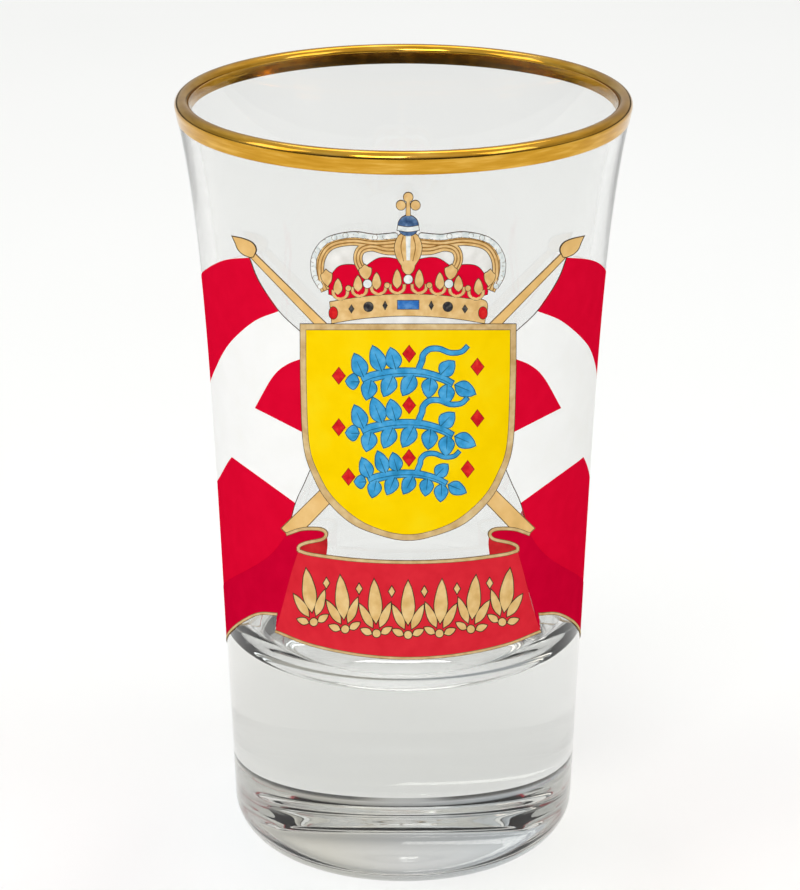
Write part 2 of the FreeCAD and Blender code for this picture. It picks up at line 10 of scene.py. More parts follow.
import bmesh
import bpy
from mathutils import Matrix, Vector


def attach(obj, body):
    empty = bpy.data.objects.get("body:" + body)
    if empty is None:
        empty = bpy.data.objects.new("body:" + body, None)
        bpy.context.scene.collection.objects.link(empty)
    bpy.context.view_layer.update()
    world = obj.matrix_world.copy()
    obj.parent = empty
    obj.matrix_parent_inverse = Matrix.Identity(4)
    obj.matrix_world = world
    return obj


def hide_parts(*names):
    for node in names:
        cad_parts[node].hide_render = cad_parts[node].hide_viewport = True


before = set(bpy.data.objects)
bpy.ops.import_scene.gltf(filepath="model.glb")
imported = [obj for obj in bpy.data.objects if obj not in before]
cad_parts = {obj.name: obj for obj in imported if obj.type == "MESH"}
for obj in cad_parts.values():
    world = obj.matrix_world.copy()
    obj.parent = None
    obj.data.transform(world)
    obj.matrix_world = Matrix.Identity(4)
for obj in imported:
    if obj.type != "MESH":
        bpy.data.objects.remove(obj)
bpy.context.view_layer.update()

MM = 0.001

# ---- the glass -----------------------------------------------------------------------------------
HEIGHT = 80.0
BASE_RADIUS = 17.73
TAPER = 3.13
FLARE = 2.18
FLARE_POWER = 6.65
HEEL_RADIUS = 4.4
FOOT_INNER_RADIUS = 9.0
PUNT_DEPTH = 1.1
FLOOR_HEIGHT = 21.5
FLOOR_DISH = 0.7
FLOOR_CORNER = 5.2
LIP_THICKNESS = 1.4
WALL_AT_FLOOR = 2.1
GOLD_OUTSIDE = 2.1
GOLD_INSIDE = 0.6
GOLD_THICKNESS = 0.06
SPIN_STEPS = 288
ROW = 1.0  # how far apart the rows of faces are up the wall

# ---- the drawing and the films -------------------------------------------------------------------
EYE_DISTANCE = 347.3
EYE_HEIGHT = 165.7
EYE_PITCH = math.radians(19.48)
DRAWING_DISTANCE = 355.9
PICTURE_SHIFT = 0.45
TURN_LIMIT = math.radians(64.0)
DRAW_STEP = 0.22  # between the points of a curved outline
SINK = 0.008  # how far the lowest film is set into the glass, and how much more each level is
SINK_STEP = 0.005
RISE = 0.022  # how far the lowest film stands out, and how much more each level does
RISE_STEP = 0.008
UNDER_PRINT = -1  # the level of the pale under-print
UNDER_PRINT_SINK = 0.09
UNDER_PRINT_MARGIN = -0.12
UNDER_PRINT_GLOW = 0.22  # stands in for the light that comes through the enamel
UNROLL = 20.0  # the radius at which the wall is unrolled flat
KEY = 0.085  # the width of a dark key line
FINE_KEY = 0.06

# ---- the camera ----------------------------------------------------------------------------------
LENS = 143.96
CAMERA_PLACE = Vector((-0.00035, -0.3473, 0.1657))

# ---- the light: each ramp runs from -1 to 1 along an axis of the direction looked in -------------
WORLD_STRENGTH = 0.72
WORLD_BY_HEIGHT = (
    (0.0, (0.9, 0.9, 0.9)), (0.5, (0.7, 0.7, 0.7)), (0.56, (0.72, 0.72, 0.72)), (0.7, (0.68, 0.69, 0.7)),
    (0.78, (0.95, 0.95, 0.95)), (0.86, (1.15, 1.15, 1.15)))
WORLD_BY_SIDE = ((0.3, (0.9, 0.95, 1.0)), (0.5, (1.0, 1.0, 1.0)), (0.62, (1.0, 0.97, 0.88)))
WORLD_FRONT = ((0.1, (1.0, 1.0, 1.0)), (0.4, (0.0, 0.0, 0.0)))
WORLD_FRONT_HEIGHT = ((0.46, (1.0, 1.0, 1.0)), (0.62, (1.0, 1.0, 1.0)), (0.7, (0.0, 0.0, 0.0)))
HORIZON = (
    (0.46, (0.0, 0.0, 0.0)), (0.49, (1.0, 1.0, 1.0)), (0.53, (1.0, 1.0, 1.0)), (0.57, (0.0, 0.0, 0.0)))
HORIZON_SIDES = (
    (0.4, (1.0, 1.0, 1.0)), (0.47, (0.0, 0.0, 0.0)), (0.53, (0.0, 0.0, 0.0)), (0.6, (1.0, 1.0, 1.0)))
HORIZON_COLOUR = (0.12, 0.12, 0.115, 1.0)
FRONT_COLOUR = (0.06, 0.055, 0.05, 1.0)
LIGHT_AIM = Vector((0, 0, 0.04))
LIGHTS = (  # name, place, width and height, power and colour
    ("key_light", (-0.14, -0.62, 0.56), (0.3, 0.22), 1.6, (1.0, 1.0, 1.0)),
    ("fill_light", (0.55, -0.35, 0.5), (0.35, 0.35), 0.75, (0.84, 0.92, 1.0)),
    ("side_light", (-0.6, -0.2, 0.45), (0.35, 0.35), 0.75, (1.0, 0.92, 0.8)),
    ("back_light", (0.05, 0.36, 0.95), (0.8, 0.4), 2.1, (1.0, 1.0, 1.0)))

# ---- the body of the glass ---------------------------------------------------------------------------
GLASS_TINT = (0.917, 0.92, 0.915, 1.0)
GLASS_DEPTH_TINT = (0.52, 0.53, 0.48, 1.0)
GLASS_DENSITY = 12.0

SURFACE = {}  # every material by its name


# ---- materials -----------------------------------------------------------------------------------
def rgb(red, green, blue):
    """A colour from its everyday 0 to 255 values."""
    def linear(value):
        value /= 255
        return value / 12.92 if value <= 0.04045 else ((value + 0.055) / 1.055) ** 2.4
    return linear(red), linear(green), linear(blue), 1.0


def new_material(name):
    """A named material: its shader, its nodes, its links and the place on the object that patterns read."""
    material = bpy.data.materials.new(name)
    material.use_nodes = True
    nodes, links = material.node_tree.nodes, material.node_tree.links
    shader = nodes["Principled BSDF"]
    place = nodes.new("ShaderNodeTexCoord")
    SURFACE[name] = material
    return shader, nodes, links, place.outputs["Object"]


def noise(nodes, links, place, scale, detail=3.0, stretch=None):
    """A noise pattern; stretch squeezes it along an axis to make streaks."""
    texture = nodes.new("ShaderNodeTexNoise")
    texture.inputs["Scale"].default_value = scale
    texture.inputs["Detail"].default_value = detail
    if stretch:
        mapping = nodes.new("ShaderNodeMapping")
        mapping.inputs["Scale"].default_value = stretch
        links.new(place, mapping.inputs["Vector"])
        place = mapping.outputs["Vector"]
    links.new(place, texture.inputs["Vector"])
    return texture.outputs["Fac"]


def ramp(nodes, links, factor, stops):
    """The colour at a factor on a colour ramp of (position, colour) stops."""
    node = nodes.new("ShaderNodeValToRGB")
    elements = node.color_ramp.elements
    while len(elements) < len(stops):
        elements.new(0.5)
    for element, (at, colour) in zip(elements, stops):
        element.position = at
        element.color = colour if len(colour) == 4 else (*colour, 1.0)
    links.new(factor, node.inputs["Fac"])
    return node.outputs["Color"]


def spread(nodes, links, factor, low, high):
    """A noise pattern's middle range stretched over the values from low to high."""
    node = nodes.new("ShaderNodeMapRange")
    node.inputs["From Min"].default_value = 0.3
    node.inputs["From Max"].default_value = 0.7
    node.inputs["To Min"].default_value = low
    node.inputs["To Max"].default_value = high
    links.new(factor, node.inputs["Value"])
    return node.outputs["Result"]


def bump(nodes, links, factor, shader, strength, distance):
    node = nodes.new("ShaderNodeBump")
    node.inputs["Strength"].default_value = strength
    node.inputs["Distance"].default_value = distance
    links.new(factor, node.inputs["Height"])
    links.new(node.outputs["Normal"], shader.inputs["Normal"])


def enamel(name, dark, middle, light, mottle=900.0, gloss=(0.2, 0.34)):
    """Fired enamel: a faintly mottled colour with the slight orange peel of a screen print."""
    shader, nodes, links, place = new_material(name)
    pattern = noise(nodes, links, place, mottle, 4.0)
    colour = ramp(nodes, links, pattern, ((0.3, dark), (0.5, middle), (0.7, light)))
    links.new(colour, shader.inputs["Base Color"])
    haze = noise(nodes, links, place, 420.0)
    links.new(spread(nodes, links, haze, *gloss), shader.inputs["Roughness"])
    bump(nodes, links, noise(nodes, links, place, 2600.0, 2.0), shader, 0.08, 0.00003)
    shader.inputs["IOR"].default_value = 1.52
    shader.inputs["Specular IOR Level"].default_value = 0.0
    return shader


def clear_glass():
    """Polished glass with faint waves, whose body takes a little light away where it is thick."""
    shader, nodes, links, place = new_material("clear_glass")
    shader.inputs["Base Color"].default_value = GLASS_TINT
    shader.inputs["Transmission Weight"].default_value = 1.0
    shader.inputs["Roughness"].default_value = 0.0
    shader.inputs["IOR"].default_value = 1.5
    waves = noise(nodes, links, place, 70.0, 1.0, (1.0, 1.0, 0.45))
    bump(nodes, links, waves, shader, 0.12, 0.0004)
    body = nodes.new("ShaderNodeVolumeAbsorption")
    body.inputs["Color"].default_value = GLASS_DEPTH_TINT
    body.inputs["Density"].default_value = GLASS_DENSITY
    links.new(body.outputs["Volume"], nodes["Material Output"].inputs["Volume"])


def fired_gold():
    """Bright gold lustre, brushed on while the glass turned, so that its streaks run round."""
    shader, nodes, links, place = new_material("fired_gold")
    streaks = noise(nodes, links, place, 260.0, 3.0, (1.0, 1.0, 9.0))
    shader.inputs["Metallic"].default_value = 1.0
    tones = ((0.3, rgb(190, 138, 38)), (0.5, rgb(204, 152, 50)), (0.72, rgb(224, 176, 80)))
    colour = ramp(nodes, links, streaks, tones)
    links.new(colour, shader.inputs["Base Color"])
    haze = noise(nodes, links, place, 600.0, 4.0)
    links.new(spread(nodes, links, haze, 0.06, 0.16), shader.inputs["Roughness"])
    bump(nodes, links, streaks, shader, 0.1, 0.00004)


def pale_table():
    shader, nodes, links, place = new_material("pale_table")
    clouds = noise(nodes, links, place, 6.0)
    colour = ramp(nodes, links, clouds, ((0.3, (0.94, 0.94, 0.94)), (0.7, (0.96, 0.96, 0.96))))
    links.new(colour, shader.inputs["Base Color"])
    shader.inputs["Roughness"].default_value = 0.7


def make_materials():
    """The glass, the gold, the table and the enamels, each with a dark, a middle and a light tone."""
    clear_glass()
    fired_gold()
    pale_table()
    enamel("white_enamel", rgb(250, 250, 248), rgb(252, 252, 251), rgb(254, 254, 253), 300.0)
    glowing_under_print = enamel("under_print", rgb(248, 248, 246), rgb(250, 250, 249), rgb(253, 253, 252), 300.0)
    # the under-print glows a little: painted light, standing in for the light that comes through the enamel
    glowing_under_print.inputs["Emission Color"].default_value = (1.0, 1.0, 0.98, 1.0)
    glowing_under_print.inputs["Emission Strength"].default_value = UNDER_PRINT_GLOW
    enamel("flag_red", rgb(220, 7, 46), rgb(223, 8, 48), rgb(226, 10, 50), 500.0)
    enamel("tail_red", rgb(202, 2, 46), rgb(206, 3, 48), rgb(210, 5, 50), 500.0)
    enamel("ribbon_red", rgb(216, 38, 52), rgb(221, 42, 56), rgb(225, 46, 59), 700.0)
    enamel("fold_red", rgb(180, 34, 40), rgb(200, 40, 46), rgb(208, 48, 52), 700.0)
    enamel("yellow", rgb(250, 208, 0), rgb(255, 214, 4), rgb(255, 220, 20), 260.0)
    enamel("blue", rgb(48, 140, 190), rgb(66, 160, 216), rgb(92, 178, 226), 1100.0)
    enamel("blue_edge", rgb(34, 92, 122), rgb(44, 108, 138), rgb(58, 120, 148), 1100.0)
    enamel("stone_blue", rgb(40, 92, 170), rgb(56, 116, 190), rgb(96, 150, 210), 1500.0)
    enamel("orb_blue", rgb(52, 74, 110), rgb(80, 110, 150), rgb(130, 156, 186), 1500.0)
    enamel("small_red", rgb(190, 24, 34), rgb(216, 36, 40), rgb(232, 60, 50), 1600.0)
    enamel("small_red_edge", rgb(140, 26, 26), rgb(160, 32, 30), rgb(176, 44, 36), 900.0)
    enamel("tan_gold", rgb(216, 172, 108), rgb(229, 189, 126), rgb(238, 204, 146), 1300.0, (0.25, 0.4))
    enamel("rim_tan", rgb(196, 160, 104), rgb(214, 182, 130), rgb(226, 200, 150), 900.0, (0.25, 0.4))
    enamel("pole_tan", rgb(226, 182, 112), rgb(236, 192, 122), rgb(242, 202, 136), 500.0, (0.25, 0.4))
    enamel("letter_gold", rgb(218, 176, 108), rgb(230, 192, 128), rgb(238, 206, 146), 900.0, (0.25, 0.4))
    enamel("scroll_brown", rgb(140, 98, 48), rgb(160, 116, 62), rgb(182, 138, 84), 1800.0)
    enamel("pearl", rgb(206, 214, 214), rgb(232, 236, 234), rgb(250, 250, 248), 1800.0)
    enamel("lining", rgb(224, 222, 216), rgb(236, 234, 230), rgb(246, 244, 240), 700.0)
    enamel("key_line", rgb(52, 40, 34), rgb(70, 54, 44), rgb(92, 72, 56), 900.0, (0.3, 0.45))
    enamel("soft_key", rgb(104, 84, 58), rgb(122, 98, 68), rgb(140, 114, 80), 900.0, (0.3, 0.45))
    enamel("dark_stone", rgb(40, 40, 44), rgb(62, 62, 64), rgb(110, 106, 98), 2200.0)


# ---- meshes that turn round the glass's axis -----------------------------------------------------
def wall_radius(z):
    share = z / HEIGHT
    return BASE_RADIUS + TAPER * share + FLARE * max(share, 0.0) ** FLARE_POWER


def wall_slope(z):
    step = 0.01
    return (wall_radius(z + step) - wall_radius(z - step)) / (2 * step)


def arc(centre, radius, start, end, steps):
    """Points (radius, height) on an arc of the section; angles in degrees, from outwards through up."""
    points = []
    for i in range(steps + 1):
        angle = math.radians(start + (end - start) * i / steps)
        points.append((centre[0] + radius * math.cos(angle), centre[1] + radius * math.sin(angle)))
    return points


def bowl(radius, edge_z, rise, steps):
    """Points from the middle of a shallow spherical bowl to its edge."""
    sphere = (radius**2 + rise**2) / (2 * rise)
    points = []
    for i in range(steps + 1):
        r = radius * i / steps
        points.append((r, edge_z + rise - sphere + math.copysign(math.sqrt(sphere**2 - r**2), sphere)))
    return points


def lip():
    """The lip's lean in degrees, the middle of its round, and the ends of that round."""
    half = LIP_THICKNESS / 2
    lean = math.atan(wall_slope(HEIGHT - half))
    outer_z = HEIGHT - half - half * math.sin(lean)
    middle = (wall_radius(outer_z) - half * math.cos(lean), HEIGHT - half)
    inner = (middle[0] - half * math.cos(lean), middle[1] + half * math.sin(lean))
    return math.degrees(lean), middle, (wall_radius(outer_z), outer_z), inner


def inner_radius(z):
    """The cup's inside radius at a height over the floor's corner."""
    inner = lip()[3]
    low = FLOOR_HEIGHT + FLOOR_CORNER
    share = (z - low) / (inner[1] - low)
    wall = WALL_AT_FLOOR + (wall_radius(inner[1]) - inner[0] - WALL_AT_FLOOR) * share
    return wall_radius(z) - wall


def heights(low, high):
    """Every whole row between two heights, with both ends."""
    first = math.floor(low / ROW) + 1
    last = math.ceil(high / ROW) - 1
    return [low, *(i * ROW for i in range(first, last + 1)), high]


def turned_piece(name, section, closed):
    """A solid from its section: spun all the way round, closed at the axis and welded."""
    bm = bmesh.new()
    verts = [bm.verts.new((0, -r * MM, z * MM)) for r, z in section]
    edges = [bm.edges.new(pair) for pair in zip(verts, verts[1:])]
    if closed:
        edges.append(bm.edges.new((verts[-1], verts[0])))
    bmesh.ops.spin(bm, geom=verts + edges, cent=(0, 0, 0), axis=(0, 0, 1), angle=2 * math.pi,
                   steps=SPIN_STEPS, use_merge=True)
    bmesh.ops.remove_doubles(bm, verts=bm.verts, dist=1e-7)
    bmesh.ops.recalc_face_normals(bm, faces=bm.faces)
    return finished(name, bm)


def finished(name, bm, sharp=60):
    mesh = bpy.data.meshes.new(name)
    bm.to_mesh(mesh)
    bm.free()
    mesh.shade_smooth()
    mesh.set_sharp_from_angle(angle=math.radians(sharp))
    piece = bpy.data.objects.new(name, mesh)
    bpy.context.scene.collection.objects.link(piece)
    return piece


def dress(piece, surface, slot, *nodes):
    piece.data.materials.append(SURFACE[surface])
    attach(piece, "root")
    if nodes:
        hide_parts(*nodes)


def glass_body():
    """The whole glass in one section: the hollow foot, heel, outer wall, lip, inner wall and cup floor."""
    lean, middle, outer, inner = lip()
    half = LIP_THICKNESS / 2
    corner_z = FLOOR_HEIGHT + FLOOR_CORNER
    corner_r = inner_radius(corner_z)
    heel_r = wall_radius(HEEL_RADIUS)
    section = bowl(FOOT_INNER_RADIUS, 0, PUNT_DEPTH, 12)
    section += arc((heel_r - HEEL_RADIUS, HEEL_RADIUS), HEEL_RADIUS, -90, 0, 20)
    section += [(wall_radius(z), z) for z in heights(HEEL_RADIUS, outer[1])[1:]]
    section += arc(middle, half, -lean, 180 - lean, 16)[1:]
    section += [(inner_radius(z), z) for z in reversed(heights(corner_z, inner[1])[:-1])]
    section += arc((corner_r - FLOOR_CORNER, corner_z), FLOOR_CORNER, 0, -90, 20)[1:]
    section += list(reversed(bowl(corner_r - FLOOR_CORNER, FLOOR_HEIGHT, -FLOOR_DISH, 10)))[1:]
    glass = turned_piece("glass_wall_and_base", section, False)
    glass.visible_shadow = False  # clear glass lets the light through
    dress(glass, "clear_glass", "clear_glass", "glass_body")


def rim_gold():
    """The gold lustre over the lip: its under side is a hair inside the glass, and its edges thin out."""
    lean, middle, outer, inner = lip()
    skin = GOLD_THICKNESS
    outer_low, inner_low = HEIGHT - GOLD_OUTSIDE, HEIGHT - GOLD_INSIDE
    face = [(wall_radius(outer_low) - SINK, outer_low - skin)]
    face += [(wall_radius(z) + skin, z) for z in heights(outer_low, outer[1])[:-1]]
    face += arc(middle, LIP_THICKNESS / 2 + skin, -lean, 180 - lean, 24)
    face += [(inner_radius(z) - skin, z) for z in reversed(heights(inner_low, inner[1])[:-1])]
    back = [(inner_radius(inner_low - skin) + SINK, inner_low - skin)]
    back += arc(middle, LIP_THICKNESS / 2 - SINK, 180 - lean, -lean, 24)
    dress(turned_piece("gold_rim", face + back, True), "fired_gold", "fired_gold", "rim_gold")


# ---- the drawing ---------------------------------------------------------------------------------
def turn_of(share):
    """The angle round the wall whose sine is share, going on evenly past the turn limit."""
    limit = math.sin(TURN_LIMIT)
    if abs(share) <= limit:
        return math.asin(share)
    return math.copysign(TURN_LIMIT + (abs(share) - limit) / math.cos(TURN_LIMIT), share)


def on_wall(point):
    """(angle from the front, height) on the wall of a point of the flat drawing."""
    x, v = point[0] + PICTURE_SHIFT, point[1]
    sin_pitch, cos_pitch = math.sin(EYE_PITCH), math.cos(EYE_PITCH)
    z, turn = HEIGHT / 2, 0.0
    for _ in range(24):
        radius = wall_radius(z)
        away = EYE_DISTANCE - radius * math.cos(turn)
        depth = away * cos_pitch - (z - EYE_HEIGHT) * sin_pitch
        scale = depth / DRAWING_DISTANCE
        turn = turn_of(x * scale / radius)
        away = EYE_DISTANCE - radius * math.cos(turn)
        z = EYE_HEIGHT + (v * scale - away * sin_pitch) / cos_pitch
    return turn, z


def between(before, start, end, after, t):
    """The value a share t of the way from start to end on a smooth curve through all four."""
    slope = end - before
    bend = 2 * before - 5 * start + 4 * end - after
    twist = 3 * start - before - 3 * end + after
    return 0.5 * (2 * start + slope * t + bend * t**2 + twist * t**3)


def smooth(points, step=DRAW_STEP):
    """Points along a smooth curve through the given ones; two points make a straight line."""
    if len(points) == 2:
        count = max(1, math.ceil(math.dist(*points) / step))
        (x0, v0), (x1, v1) = points
        return [(x0 + (x1 - x0) * i / count, v0 + (v1 - v0) * i / count) for i in range(count + 1)]
    around = [tuple(2 * a - b for a, b in zip(points[0], points[1])), *points,
              tuple(2 * a - b for a, b in zip(points[-1], points[-2]))]
    found = []
    for four in zip(around, around[1:], around[2:], around[3:]):
        count = max(2, math.ceil(math.dist(four[1], four[2]) / step))
        for i in range(count):
            found.append(tuple(between(*axis, i / count) for axis in zip(*four)))
    return [*found, points[-1]]


def joined(*runs):
    """An outline of stretches: each run starts where the one before it ends, and the last one closes."""
    stretches, at = [], runs[0][0]
    for i, run in enumerate(runs):
        points = list(run) if i == 0 else [at, *run]
        stretches.append(points)
        at = points[-1]
    if math.dist(at, runs[0][0]) > 1e-6:
        stretches.append([at, runs[0][0]])
    return stretches


def mirrored(outline):
    return [[(-x, v) for x, v in run] for run in outline]


def as_drawn(outline):
    return outline


SIDES = (("left", as_drawn), ("right", mirrored))


def ring_of(outline):
    """An outline as one ring of points, anticlockwise."""
    ring = []
    for stretch in outline:
        ring += smooth(stretch)[:-1]
    area = sum(a[0] * b[1] - b[0] * a[1] for a, b in zip(ring, ring[1:] + ring[:1]))
    return ring if area > 0 else ring[::-1]


def grown(ring, by):
    """A ring moved outwards, or inwards if by is negative."""
    found = []
    for before, at, after in zip(ring[-1:] + ring[:-1], ring, ring[1:] + ring[:1]):
        ways = []
        for a, b in ((before, at), (at, after)):
            length = math.dist(a, b) or 1.0
            ways.append(((b[1] - a[1]) / length, (a[0] - b[0]) / length))
        x, v = ways[0][0] + ways[1][0], ways[0][1] + ways[1][1]
        size = max(math.hypot(x, v), 0.7)
        reach = by * min(2 / size, 2.2) / size
        found.append((at[0] + x * reach, at[1] + v * reach))
    return found


def turned(points, angle, x=0.0, v=0.0):
    """Points turned about the origin and then moved to (x, v)."""
    c, s = math.cos(angle), math.sin(angle)
    return [(x + px * c - pv * s, v + px * s + pv * c) for px, pv in points]


def oval(x, v, half_width, half_height=None, count=24):
    """An oval, or a round spot if it has no height of its own."""
    tall = half_height or half_width
    turns = [2 * math.pi * i / count for i in range(count)]
    ring = [(x + half_width * math.cos(turn), v + tall * math.sin(turn)) for turn in turns]
    return [[a, b] for a, b in zip(ring, ring[1:] + ring[:1])]


def leaf(x, v, length, width, angle, belly=0.45):
    """A pointed leaf whose stalk end is at (x, v)."""
    side = [(0, 0), (length * belly * 0.45, width * 0.38), (length * belly, width / 2),
            (length * 0.8, width * 0.29), (length, 0)]
    back = [(px, -pv) for px, pv in reversed(side)]
    return [turned(side, angle, x, v), turned(back, angle, x, v)]


def lozenge(x, v, half_width, half_height):
    corners = [(x - half_width, v), (x, v + half_height), (x + half_width, v), (x, v - half_height)]
    return [[corners[i], corners[(i + 1) % 4]] for i in range(4)]


def strip(path, width, end_width=None):
    """A line of even or tapering width along a smooth path."""
    end = width if end_width is None else end_width
    middle = smooth(path)
    sides = ([], [])
    for i, at in enumerate(middle):
        before, after = middle[max(i - 1, 0)], middle[min(i + 1, len(middle) - 1)]
        length = math.dist(before, after) or 1.0
        across = ((before[1] - after[1]) / length, (after[0] - before[0]) / length)
        half = (width + (end - width) * i / (len(middle) - 1)) / 2
        for side, way in zip(sides, (half, -half)):
            side.append((at[0] + across[0] * way, at[1] + across[1] * way))
    ring = sides[0] + sides[1][::-1]
    return [[a, b] for a, b in zip(ring, ring[1:] + ring[:1])]


# ---- from outlines to films on the glass ---------------------------------------------------------
def laid_on_glass(bm, level):
    """Cuts flat faces on the unrolled wall along the glass's grid, thickens them and wraps them round it."""
    column = 2 * math.pi / SPIN_STEPS * UNROLL
    for axis, step in ((0, column), (1, ROW)):
        low = min(v.co[axis] for v in bm.verts)
        high = max(v.co[axis] for v in bm.verts)
        normal = Vector((1, 0, 0)) if axis == 0 else Vector((0, 1, 0))
        for i in range(math.ceil(low / step), math.floor(high / step) + 1):
            bmesh.ops.bisect_plane(bm, geom=[*bm.verts, *bm.edges, *bm.faces], dist=1e-5,
                                   plane_co=normal * (i * step), plane_no=normal)
    rise, sink = RISE + RISE_STEP * level, SINK + SINK_STEP * level
    if level == UNDER_PRINT:
        rise, sink = RISE / 2, UNDER_PRINT_SINK
    bmesh.ops.solidify(bm, geom=bm.faces[:], thickness=rise + sink)
    for vert in bm.verts:
        turn, z = vert.co.x / UNROLL, vert.co.y
        radius = wall_radius(z) + (rise if abs(vert.co.z) > rise / 2 else -sink)
        vert.co = Vector((radius * math.sin(turn), -radius * math.cos(turn), z)) * MM
    bmesh.ops.recalc_face_normals(bm, faces=bm.faces)


def film(name, rings, level, surface, slot, *nodes):
    """One film of enamel: every ring of points is an island of it."""
    bm = bmesh.new()
    for ring in rings:
        bm.faces.new([bm.verts.new((turn * UNROLL, z, 0)) for turn, z in map(on_wall, ring)])
    laid_on_glass(bm, level)
    dress(finished(name, bm), surface, slot, *nodes)


def area(name, outlines, level, surface, slot, key=None, key_width=KEY, node=None):
    """A coloured area that replaces its own node, with a key line drawn round it if key names one."""
    rings = [ring_of(outline) for outline in outlines]
    if key:
        wide = [grown(ring, key_width) for ring in rings]
        film(f"{name}_key_line", wide, level - 1, key, "dark_enamel")
    film(f"{name}_film", rings, level, surface, slot, node or name)


def drawn(name, outlines, level, surface, slot):
    """Lines and spots that are too fine to have a node of their own."""
    film(name, [ring_of(outline) for outline in outlines], level, surface, slot)


def under_print(name, outline):
    """The pale layer under the colours: it's what shows of them through the glass from the inside."""
    film(name, [grown(ring_of(outline), UNDER_PRINT_MARGIN)], UNDER_PRINT, "under_print", "white_enamel")


# ---- the flags, the poles and their finials ------------------------------------------------------
POLE_TOP = (-15.55, 19.0)
POLE_FOOT = (12.0, -8.9)
POLE_HALF_TOP = 0.26
POLE_HALF_FOOT = 0.84
FLAG_HOIST = [(-15.85, 18.75), (-14.9, 16.4), (-12.9, 13.4), (-10.6, 11.2)]
FLAG_FOOT = [(-9.4, -1.6), (-10.4, -3.9), (-11.25, -5.8), (-12.1, -8.9)]
FLAG_LOW = [(-12.1, -8.9), (-13.35, -10.6), (-15.0, -11.9), (-18.3, -13.6), (-20.8, -14.3)]
FLAG_FLY = [(-20.8, -14.3), (-22.6, -13.2), (-24.0, -8.0), (-23.4, -1.0), (-24.6, 6.0), (-23.9, 12.5),
            (-24.3, 15.4)]
FLAG_TOP = [(-24.3, 15.4), (-21.9, 16.9), (-20.3, 17.6), (-18.3, 18.5), (-15.85, 18.75)]


def flag():
    return joined(FLAG_HOIST, [(-9.4, -1.6)], FLAG_FOOT[1:], FLAG_LOW[1:], FLAG_FLY[1:], FLAG_TOP[1:])


def flag_red_top():
    return joined(FLAG_TOP, [(-14.9, 16.4), (-12.9, 13.4)],
                  [(-15.4, 12.35), (-17.8, 10.2), (-19.5, 7.5), (-21.0, 6.3), (-24.9, 5.3)],
                  [(-24.5, 10.0), (-24.2, 12.5), (-24.6, 15.5)])


def flag_red_middle():
    hoist = [(-15.3, 3.7), (-13.6, 6.7), (-12.2, 8.0), (-10.2, 8.8)]
    return joined(hoist, [(-9.4, 0.7)], [(-15.3, 3.7)])


def flag_red_low():
    return joined([(-17.6, -1.2), (-11.25, -5.8)], [(-11.75, -7.8), (-12.1, -8.9)], FLAG_LOW[1:],
                  [(-22.9, -13.4), (-24.4, -8.0), (-24.1, -5.0)],
                  [(-21.2, -3.9), (-19.2, -3.2), (-17.6, -1.2)])


def pole():
    (tx, tv), (fx, fv) = POLE_TOP, POLE_FOOT
    length = math.hypot(fx - tx, fv - tv)
    nx, nv = -(fv - tv) / length, (fx - tx) / length
    corners = [(tx + nx * POLE_HALF_TOP, tv + nv * POLE_HALF_TOP),
               (fx + nx * POLE_HALF_FOOT, fv + nv * POLE_HALF_FOOT),
               (fx - nx * POLE_HALF_FOOT, fv - nv * POLE_HALF_FOOT),
               (tx - nx * POLE_HALF_TOP, tv - nv * POLE_HALF_TOP)]
    return [[corners[i], corners[(i + 1) % 4]] for i in range(4)]


def finial():
    return joined([(-15.45, 18.85), (-15.2, 19.55), (-15.55, 20.2), (-16.4, 20.6), (-17.5, 20.85)],
                  [(-17.2, 20.2), (-16.95, 19.6), (-16.45, 19.1), (-15.75, 18.8)])


def flags():
    reds = (("top", flag_red_top()), ("middle", flag_red_middle()), ("low", flag_red_low()))
    for side, flip in SIDES:
        under_print(f"flag_under_print_{side}", flip(flag()))
        area(f"flag_white_{side}", [flip(flag())], 0, "white_enamel", "white_enamel")
        for name, outline in reds:
            area(f"flag_red_{name}_{side}", [flip(outline)], 1, "flag_red", "red_enamel")
        lines = [strip(line, FINE_KEY) for line in flip([FLAG_HOIST, [(-9.0, -0.9), *FLAG_FOOT]])]
        drawn(f"flag_hoist_line_{side}", lines, 2, "key_line", "dark_enamel")
        area(f"flag_pole_{side}", [flip(pole())], 4, "pole_tan", "wood_tan_enamel", "soft_key")
        area(f"flag_finial_{side}", [flip(finial())], 6, "pole_tan", "wood_tan_enamel", "key_line")


# ---- the shield ----------------------------------------------------------------------------------
SHIELD_HALF = 10.75
SHIELD_TOP = 12.1
SHIELD_FOOT = -9.5
SHIELD_RIM = 0.6
ROWS = ((7.3, 1.0), (2.15, 1.0), (-2.85, 0.86))
STEM = ((-4.5, -0.85), (-3.4, -0.4), (-1.2, -0.02), (1.2, -0.05), (3.2, -0.55), (4.4, -1.15))
TENDRIL = (
    (1.15, 0.6), (1.4, 1.2), (1.5, 1.75), (2.1, 2.3), (3.1, 2.35), (4.2, 1.95), (5.3, 2.05), (5.9, 2.6))
SPRIG_LEAVES = (
    (-4.3, -0.75, 2.2, 112), (-4.6, -0.95, 1.0, 178), (-3.6, -0.5, 1.7, 256), (-2.5, -0.2, 2.4, 110),
    (-1.4, -0.1, 1.9, 246), (-1.15, 0.0, 1.9, 104), (0.7, 0.0, 2.0, 242), (2.3, -0.25, 1.7, 262),
    (3.9, -0.9, 1.7, 266), (4.4, -1.15, 1.9, 336), (3.0, -0.45, 1.6, 44))
LEAF_WIDTH = 1.5
STALK_GAP = 0.3


